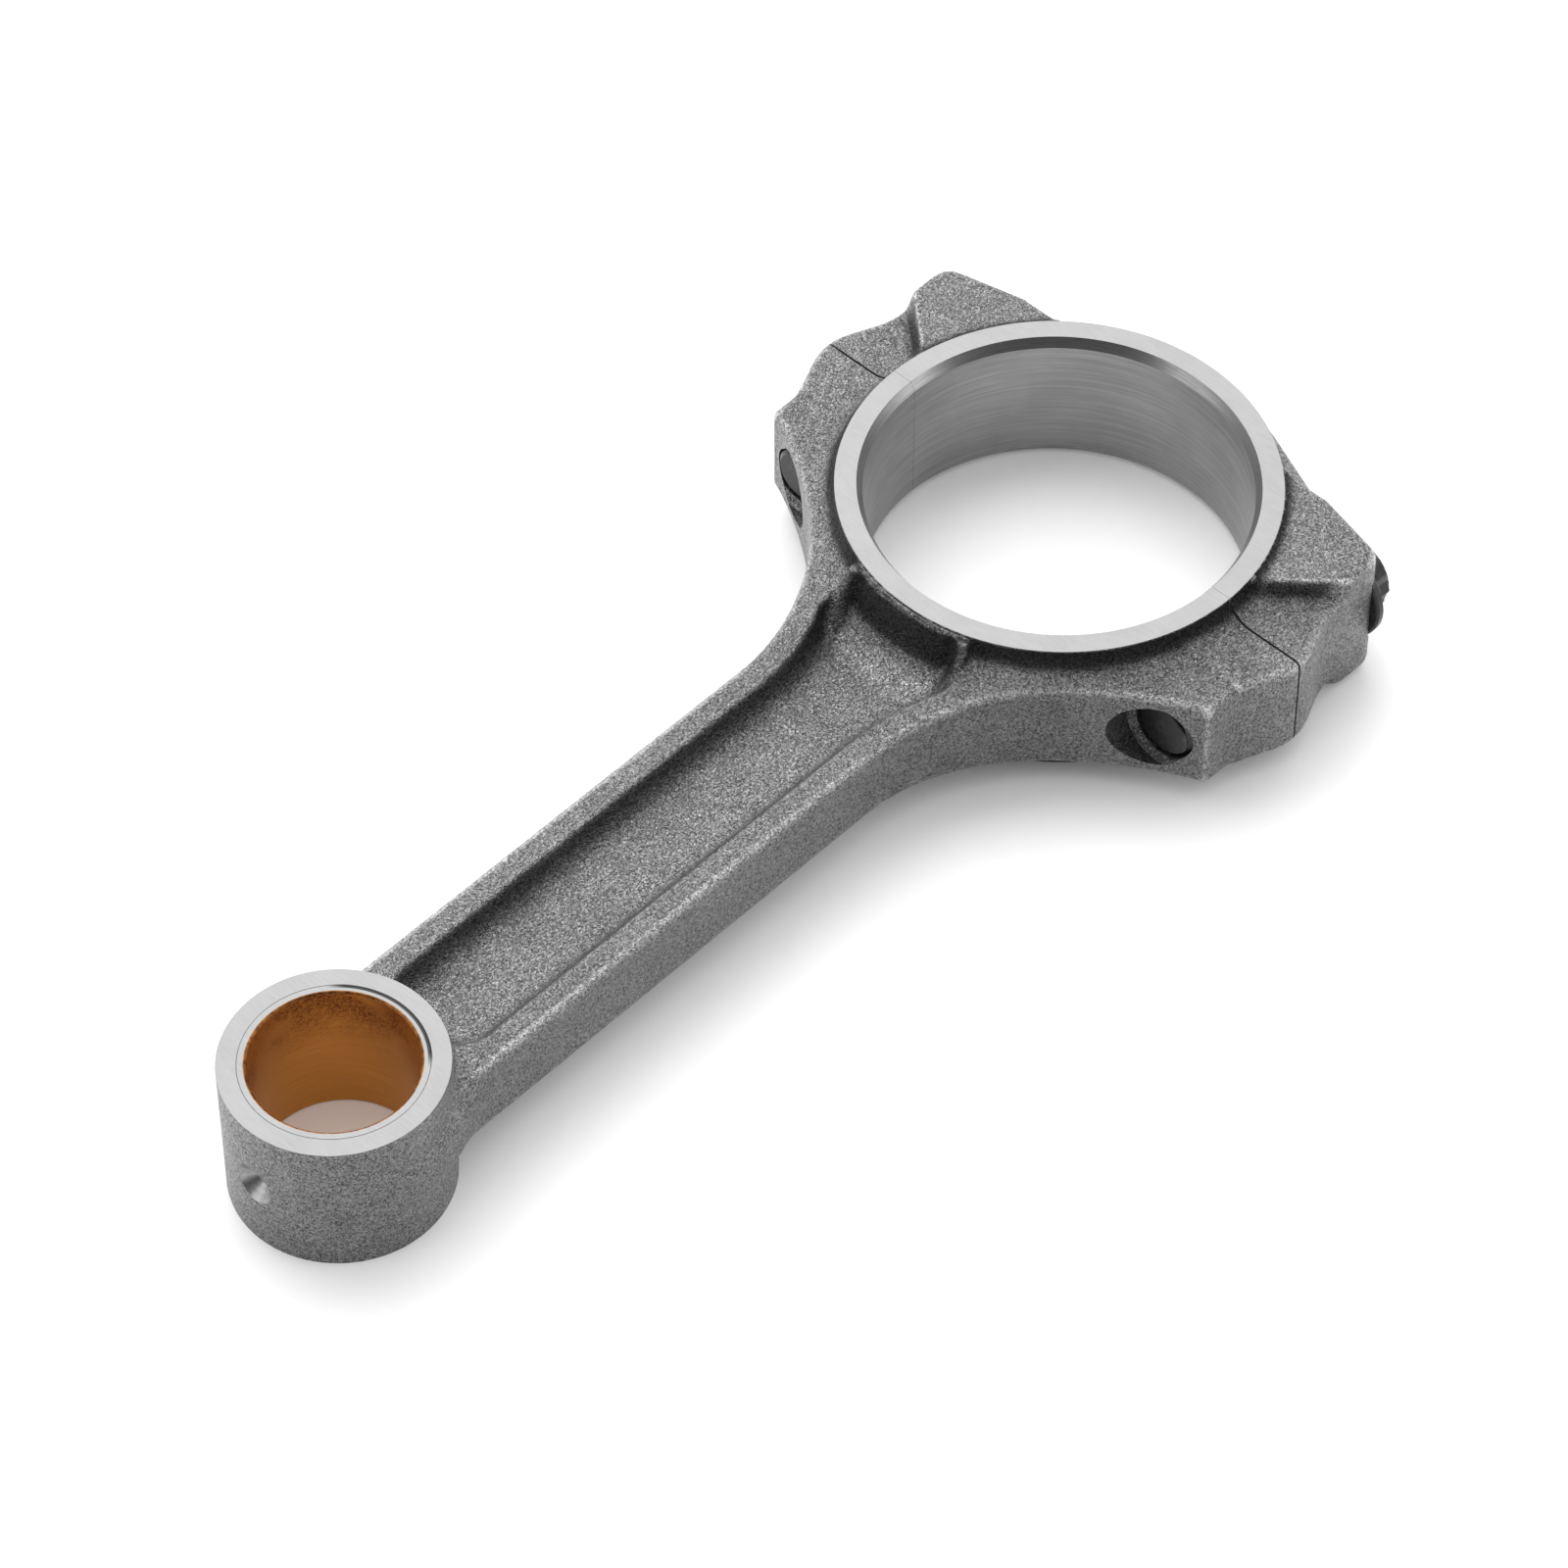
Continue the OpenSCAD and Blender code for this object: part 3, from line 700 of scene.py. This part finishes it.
# ---------------------------------------------------------------- rod and cap
def wear_and_shade_attributes(obj):
    """Stores how sharply each vertex stands out ("edge": bright blasted edges, 0 to 1) and
    how much painted shading it takes ("painted_shading": painted shade above 0 on steep walls
    and in creases, painted light below 0 on the pocket's floor)."""
    mesh = obj.data
    n = len(mesh.vertices)
    co = np.empty(n * 3)
    no = np.empty(n * 3)
    mesh.vertices.foreach_get("co", co)
    mesh.vertices.foreach_get("normal", no)
    co, no = co.reshape(-1, 3) / MM, no.reshape(-1, 3)
    ends = np.empty(len(mesh.edges) * 2, np.int32)
    mesh.edges.foreach_get("vertices", ends)
    a, b = ends.reshape(-1, 2).T
    links = np.bincount(a, minlength=n) + np.bincount(b, minlength=n)

    def mean(v):
        return (np.bincount(a, v[b], n) + np.bincount(b, v[a], n)) / np.maximum(links, 1)

    pull = np.stack([mean(co[:, i]) - co[:, i] for i in range(3)], 1)
    curve = -(pull * no).sum(1) / STEP ** 2 * 2
    for _ in range(3):
        curve = (curve + mean(curve)) / 2
    x, y, z = co.T
    pocket = polygon_distance(mirrored(pocket_outline()), x, y)
    inside = -polygon_distance(mirrored(rod_outline()), x, y)
    ring = np.hypot(x, y) - FACE_R
    edge = np.clip((curve - 0.19) / 0.18, 0, 1)
    edge *= (0.3 + 0.7 * smooth(pocket, 1.2, 2.4)) * smooth(ring, 0.8, 2.0)

    # Painted shade on steep walls: all of the ring's wall, and none on the small end
    wall_shade = np.clip((0.94 - np.abs(no[:, 2])) / 0.44, 0, 1) * smooth(inside, 1.2, 2.4)
    wall_shade *= smooth(x, SMALL_X + SMALL_R - 1.5, SMALL_X + SMALL_R + 1)
    wall_shade **= 1 + 0.8 * smooth(x, -48, -40) * smooth(x, -24, -30)
    # Darkest painted shade right next to the ring's wall
    wall_shade[(ring < 1.2) & (np.abs(z) > 9)] = 1.15
    for _ in range(int(2 / STEP)):
        curve = (curve + mean(curve)) / 2
        wall_shade = (wall_shade + mean(wall_shade)) / 2
    # Painted shade in concave creases too, not only on steep walls
    painted_shading = np.maximum(wall_shade, np.clip((-0.12 - curve) / 0.25, 0, 0.5))

    # Painted light on the pocket's floor, most of all where it rises towards the ring
    tilt = 1 - np.abs(no[:, 2])
    level = np.hypot(no[:, 0], no[:, 1])
    bowl_light = smooth(tilt, 0.002, 0.03) * smooth(tilt, 0.25, 0.12) * smooth(x, -47, -43)
    bowl_light *= smooth(-no[:, 0], 0.6 * level, level + 0.01)
    painted_shading -= 0.3 * smooth(-pocket, 2.5, 4.5) + 0.6 * bowl_light * smooth(-pocket, 0.0, 2.0)
    for name, value in (("edge", edge), ("painted_shading", painted_shading)):
        layer = mesh.attributes.new(name, "FLOAT", "POINT")
        layer.data.foreach_set("value", value.astype(np.float32))


def face_trimmer(at_x, outer, bevel):
    """Cutter that leaves a flat face at FACE_Z inside radius outer, with a small bevel."""
    out, over = outer + 0.3, 16
    drop = FACE_Z - (out - (outer - bevel))
    profile = [(0, FACE_Z), (outer - bevel, FACE_Z), (out, drop), (out, over), (0, over)]
    v, f, _ = revolve(profile, BIG_SEG, closed=False)
    return place(v, (at_x, 0, 0)), f


def big_bore_cutter():
    """Cutter for the big-end bore, with a chamfer at each mouth."""
    run, deep, over = 0.9, 1.5, 1.0
    mouth = BIG_R + run * (1 + over / deep)
    profile = [(0, -FACE_Z - over), (mouth, -FACE_Z - over), (BIG_R, deep - FACE_Z),
               (BIG_R, FACE_Z - deep), (mouth, FACE_Z + over), (0, FACE_Z + over)]
    return revolve(profile, BIG_SEG, [BORE, CHAMFER, BORE, CHAMFER, BORE], closed=False)


def tang_slot(x0, x1):
    """Cutter for a bearing shell's tang slot in the big-end bore."""
    deep, z0, z1 = 1.3, 2.0, 7.0
    return box((x0, -BIG_R - deep, z0), (x1, -BIG_R + deep, z1))


def whole_forging():
    """Rod and cap in one piece, with the faces ground, the bore cut and the joint scored."""
    verts, faces = forging_mesh()
    obj = make_object("forging", verts, faces, FORGING_MATS)
    wear_and_shade_attributes(obj)
    for flip in (1, -1):
        for at, radius in ((0.0, FACE_R), (SMALL_X, SMALL_R)):
            v, f = face_trimmer(at, radius, 0.03)
            cut(obj, v * (1, 1, flip), f, slot=GROUND)
    score_hw, score_y = 0.18, FACE_R + 0.06
    for flip in (1, -1):
        v, f = box((-score_hw, flip * FAR_Y, -FAR_Z), (score_hw, flip * score_y, FAR_Z))
        cut(obj, v, f, slot=JOINT)
    v, f, m = big_bore_cutter()
    cut(obj, v, f, m)
    return obj


def copy_of(obj, name):
    mesh = obj.data.copy()
    mesh.name = name
    new = bpy.data.objects.new(name, mesh)
    bpy.context.scene.collection.objects.link(new)
    return new


def rod_piece(base):
    """The forging's rod half: bush seat, threaded holes, dowel bores, oil hole, tang slot."""
    obj = copy_of(base, "rod_body")
    v, f = box((-PARTING_GAP, -FAR_Y, -FAR_Z), (FAR_X, FAR_Y, FAR_Z))
    cut(obj, v, f, slot=JOINT)
    mouth_r, mouth_z, lead = BUSH_R + 2.1, 14, 0.04
    profile = [(0, -mouth_z), (mouth_r, -mouth_z), (BUSH_R, lead - FACE_Z),
               (BUSH_R, FACE_Z - lead), (mouth_r, mouth_z), (0, mouth_z)]
    v, f, _ = revolve(profile, closed=False)
    cut(obj, place(v, (SMALL_X, 0, 0)), f, slot=GROUND)
    drill_r, thread_r, drill_len, cone_len, over = 5.85, SCREW_R + 0.24, 50, 1.05, 0.35
    thread_x = drill_len + cone_len
    thread_end = thread_x + over - TIP_X
    bore_r, bore_len, relief_r, step, bore_end = 5.55, 4.8, 5.9, 0.4, 6.5
    for y in (-SCREW_Y, SCREW_Y):
        profile = [(0, 0), (drill_r, 0), (drill_r, drill_len), (thread_r, thread_x),
                   (thread_r, thread_end), (0, thread_end)]
        mats = [DRILLED_SHADED, DRILLED_SHADED, FORGED, DRILLED_SHADED, DRILLED_SHADED]
        v, f, m = along(profile, TIP_X - thread_x, y, mats=mats)
        cut(obj, v, f, m)
        profile = [(0, 0), (bore_r, 0), (bore_r, bore_len), (relief_r, bore_len + step),
                   (relief_r, bore_end), (0, bore_end)]
        v, f, _ = along(profile, -bore_len, y)
        cut(obj, v, f, slot=JOINT)
    # The oil hole opens in a cone at the small end's tip, and its cutter starts outside the metal
    sink_r, sink_len, outside = 3.9, 3.2, 0.6
    profile = [(0, 0), (sink_r, 0), (OIL_R, sink_len), (OIL_R, OIL_LEN), (0, OIL_LEN)]
    mats = [DRILLED_SHADED, JOINT, DRILLED_SHADED, DRILLED_SHADED]
    v, f, m = along(profile, SMALL_X - SMALL_R - outside, 0, OIL_SEG, mats)
    cut(obj, v, f, m)
    v, f = tang_slot(-5.5, 1)
    cut(obj, v, f, slot=BORE)
    return obj


def cap_piece(base):
    """The forging's cap half: dowel bores, screw holes with spot faces, tang slot."""
    obj = copy_of(base, "cap_body")
    v, f = box((-FAR_X, -FAR_Y, -FAR_Z), (PARTING_GAP, FAR_Y, FAR_Z))
    cut(obj, v, f, slot=JOINT)
    over, bore_r, bore_len, hole_r, lead, spot_r, spot_end = 1.0, 5.59, 4.85, 5.0, 0.5, 9.0, 50
    bore, seat = over + bore_len, over + SEAT_X
    for y in (-SCREW_Y, SCREW_Y):
        profile = [(0, 0), (bore_r, 0), (bore_r, bore), (hole_r, bore), (hole_r, seat - lead),
                   (hole_r + lead, seat), (spot_r, seat), (spot_r, spot_end), (0, spot_end)]
        v, f, _ = along(profile, -over, y)
        cut(obj, v, f, slot=JOINT)
    v, f = tang_slot(-1, 5.5)
    cut(obj, v, f, slot=BORE)
    return obj


def finish_sharp(obj, angle):
    """Smooth shading, with crisp lines at sharp corners and wherever the finish changes."""
    obj.data.shade_smooth()
    obj.data.set_sharp_from_angle(angle=math.radians(angle))
    bm = bmesh.new()
    bm.from_mesh(obj.data)
    for e in bm.edges:
        if len({f.material_index for f in e.link_faces}) > 1:
            e.smooth = False
    bm.to_mesh(obj.data)
    bm.free()


def attach(piece, body, node, angle):
    """Finishes a piece, rides it on its body and puts it in place of its CAD node."""
    finish_sharp(piece, angle)
    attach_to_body(piece, body)
    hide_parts(node)


base = whole_forging()
rod = rod_piece(base)
cap = cap_piece(base)
bpy.data.objects.remove(base)
attach(rod, "rod", "rod_forging", 32)
attach(cap, "cap", "cap_forging", 32)

# ---------------------------------------------------------------- small-end bush
def bush_backing():
    """Steel back of the bush, with its outer corners eased."""
    inner, edge_r, outer, ease = PIN_R + 0.37, BUSH_R - 0.05, BUSH_R - 0.02, 0.04
    profile = [(inner, -FACE_Z), (edge_r, -FACE_Z), (outer, ease - FACE_Z),
               (outer, FACE_Z - ease), (edge_r, FACE_Z), (inner, FACE_Z)]
    v, f, m = revolve(profile)
    return make_object("bush_steel_back", place(v, (SMALL_X, 0, 0)), f, [M_GROUND], m)


def bush_lining():
    """Bronze lining of the bush, with its bore's mouths eased."""
    outer, lip, rim_z = PIN_R + 0.36, 0.24, FACE_Z - 0.01
    profile = [(outer, rim_z), (PIN_R + lip, rim_z), (PIN_R, FACE_Z - lip),
               (PIN_R, lip - FACE_Z), (PIN_R + lip, -rim_z), (outer, -rim_z)]
    v, f, m = revolve(profile, mats=[1, 1, 0, 1, 1, 0])
    finishes = [bronze(), bronze_rim()]
    return make_object("bush_bronze_lining", place(v, (SMALL_X, 0, 0)), f, finishes, m)


oil_x, oil_profile = SMALL_X - 18, [(0, 0), (OIL_R, 0), (OIL_R, OIL_LEN), (0, OIL_LEN)]
for piece, node, slot in ((bush_backing(), "bush_backing", "bush_steel"),
                          (bush_lining(), "bush_lining", "bronze")):
    outward(piece.data)
    v, f, _ = along(oil_profile, oil_x, 0, OIL_SEG)
    cut(piece, v, f, slot=0)
    attach(piece, "rod", node, 30)


# ---------------------------------------------------------------- cap screws and dowels
def polar_mesh(rings):
    """Closed skin over rings of equal point count, fanned shut at both ends."""
    n = len(rings[0])
    verts = [p for ring in rings for p in ring]
    faces = []
    for j in range(len(rings) - 1):
        for i in range(n):
            k = (i + 1) % n
            faces.append([j * n + i, j * n + k, (j + 1) * n + k, (j + 1) * n + i])
    for ring, order in ((0, -1), (len(rings) - 1, 1)):
        verts.append(tuple(np.mean(rings[ring], axis=0)))
        for i in range(n):
            k = (i + 1) % n
            tri = [ring * n + i, ring * n + k, len(verts) - 1]
            faces.append(tri[::order])
    return verts, faces


def head_radius(a, across):
    """Outline of two crossed hexagons with slightly rounded points."""
    def hexagon(t):
        t = (t + math.pi / 6) % (math.pi / 3) - math.pi / 6
        return across * math.cos(math.pi / 6) / math.cos(t)
    return min(across * 0.985, max(hexagon(a), hexagon(a + math.pi / 6)))


def screw_piece(name, y, finish):
    """Twelve-point screw: helical thread, reduced shank, washer-faced head."""
    seg, pitch, depth, thread_len, run_out = 96, 1.058, 0.62, 12.9, 1.2
    chamfer, undercut = 0.75, 0.45
    angles = [2 * math.pi * i / seg for i in range(seg)]
    rings = []

    def ring(h, radius):
        rings.append([(h, radius(a) * math.cos(a), radius(a) * math.sin(a)) for a in angles])

    def thread(h):
        fade = min(1.0, max(0.0, (thread_len - h) / run_out))
        tip = max(0.0, chamfer - h)

        def radius(a):
            t = (h / pitch - a / (2 * math.pi)) % 1.0
            ridge = min(1.0, max(0.0, 1.25 - abs(t - 0.5) * 3.2))
            r = SCREW_R - depth * (1 - ridge) * fade - (1 - fade) * undercut
            return min(r, SCREW_R - tip)
        return radius

    for h in np.concatenate([[0.0], np.arange(0.06, thread_len, pitch / 9)]):
        ring(h, thread(h))
    seat, shank, flange, head = SCREW_LEN, 4.3, 8.4, 6.3
    turned_steps = [
        (13.1, shank), (30.6, shank), (31.1, SCREW_R), (seat - 0.5, SCREW_R),
        (seat - 0.01, SCREW_R + 0.1), (seat, 5.2), (seat, flange - 0.35), (seat + 0.3, flange),
        (seat + 1.15, flange), (seat + 1.5, flange - 0.4)]
    for h, r in turned_steps:
        ring(h, lambda a, r=r: r)
    ring(seat + 1.95, lambda a: head_radius(a, head) + 0.45)
    for h in (2.3, 3.4, 4.6, 5.15):
        ring(seat + h, lambda a: head_radius(a, head))
    for h, limit in ((5.55, 5.75), (5.9, 5.25)):
        ring(seat + h, lambda a, limit=limit: min(head_radius(a, head), limit))
    for h, r in ((5.9, 3.1), (5.75, 2.9), (5.1, 2.7), (4.9, 2.4)):
        ring(seat + h, lambda a, r=r: r)
    verts, faces = polar_mesh(rings)
    obj = make_object(name, place(verts, (TIP_X, y, 0)), faces, [finish])
    outward(obj.data)
    return obj


def dowel_piece(name, y, finish):
    """Hollow dowel round a screw, with eased ends."""
    ease, land_in, land_out = 0.35, 5.2, 5.28
    far = DOWEL_LEN - ease
    profile = [(DOWEL_IN, ease), (land_in, 0.0), (land_out, 0.0), (DOWEL_OUT, ease),
               (DOWEL_OUT, far), (land_out, DOWEL_LEN), (land_in, DOWEL_LEN), (DOWEL_IN, far)]
    v, f, m = along(profile, -DOWEL_LEN / 2, y, closed=True)
    obj = make_object(name, v, f, [finish], m)
    outward(obj.data)
    return obj


oxide, dowel_finish = black_oxide(), dowel_steel()
for side, y in (("left", SCREW_Y), ("right", -SCREW_Y)):
    screw = screw_piece("screw_" + side + "_detailed", y, oxide)
    attach(screw, "screw_" + side, "cap_screw_" + side, 28)
    dowel = dowel_piece("dowel_" + side + "_turned", y, dowel_finish)
    attach(dowel, "rod", "dowel_" + side, 30)

# ---------------------------------------------------------------- stage, light, camera
FLOOR_HW, FLOOR_DEEP = 6000, 20
v, f = box((-FLOOR_HW, -FLOOR_HW, -FLOOR_DEEP - FACE_Z), (FLOOR_HW, FLOOR_HW, -FACE_Z))
floor = make_object("floor", v, f, [floor_paper()])


def area(name, at, aim, size, power):
    data = bpy.data.lights.new(name, "AREA")
    data.shape = "RECTANGLE"
    data.size, data.size_y = size
    data.energy = power
    obj = bpy.data.objects.new(name, data)
    bpy.context.scene.collection.objects.link(obj)
    obj.location = at
    obj.rotation_euler = (Vector(aim) - Vector(at)).to_track_quat("-Z", "Y").to_euler()


def studio_world():
    """Soft white all round, with the dark room showing low behind the camera."""
    world = bpy.data.worlds.new("studio")
    world.use_nodes = True
    tree = world.node_tree
    nodes, link = tree.nodes, tree.links.new
    coord = nodes.new("ShaderNodeTexCoord")
    facing = nodes.new("ShaderNodeVectorMath")
    facing.operation = "DOT_PRODUCT"
    facing.inputs[1].default_value = (0.55, 0.51, 0.66)
    shade = nodes.new("ShaderNodeMapRange")
    shade.interpolation_type = "SMOOTHSTEP"
    for socket, value in (("From Min", -0.35), ("From Max", 0.55), ("To Min", 0.03), ("To Max", 1.2)):
        shade.inputs[socket].default_value = value
    link(coord.outputs["Generated"], facing.inputs[0])
    link(facing.outputs["Value"], shade.inputs["Value"])
    link(shade.outputs["Result"], nodes["Background"].inputs["Strength"])
    nodes["Background"].inputs["Color"].default_value = (1, 1, 1, 1)
    # The backdrop itself is plain white, whichever way the camera looks
    backdrop = nodes.new("ShaderNodeBackground")
    backdrop.inputs["Color"].default_value = (1, 1, 1, 1)
    seen = nodes.new("ShaderNodeLightPath")
    pick = nodes.new("ShaderNodeMixShader")
    link(seen.outputs["Is Camera Ray"], pick.inputs[0])
    link(nodes["Background"].outputs[0], pick.inputs[1])
    link(backdrop.outputs[0], pick.inputs[2])
    link(pick.outputs[0], nodes["World Output"].inputs["Surface"])
    return world


def photo_camera():
    """The camera solved from the photo's two bores and their faces."""
    lens = bpy.data.cameras.new("camera")
    lens.sensor_width = 36.0
    lens.lens = 155.16
    lens.clip_end = 20.0
    camera = bpy.data.objects.new("camera", lens)
    bpy.context.scene.collection.objects.link(camera)
    right = Vector((0.68838529, -0.72534423, -0.00120555))
    up = Vector((0.55449349, 0.52516709, 0.64555132))
    back = Vector((-0.46761381, -0.44505649, 0.76371595))
    camera.matrix_world = Matrix((
        (right.x, up.x, back.x, -0.504787),
        (right.y, up.y, back.y, -0.425758),
        (right.z, up.z, back.z, 0.724937),
        (0, 0, 0, 1)))
    return camera


aim = (-0.06, 0.0, 0.0)
area("back_softbox", (0.35, 0.75, 1.0), aim, (1.6, 1.6), 19.5)
area("left_panel", (-0.9, 0.5, 0.35), aim, (0.6, 0.6), 1.7)
area("right_panel", (0.55, -0.85, 0.30), aim, (0.5, 0.4), 2.1)
bpy.context.scene.world = studio_world()
bpy.context.scene.camera = photo_camera()
bpy.context.scene.view_settings.view_transform = "Standard"
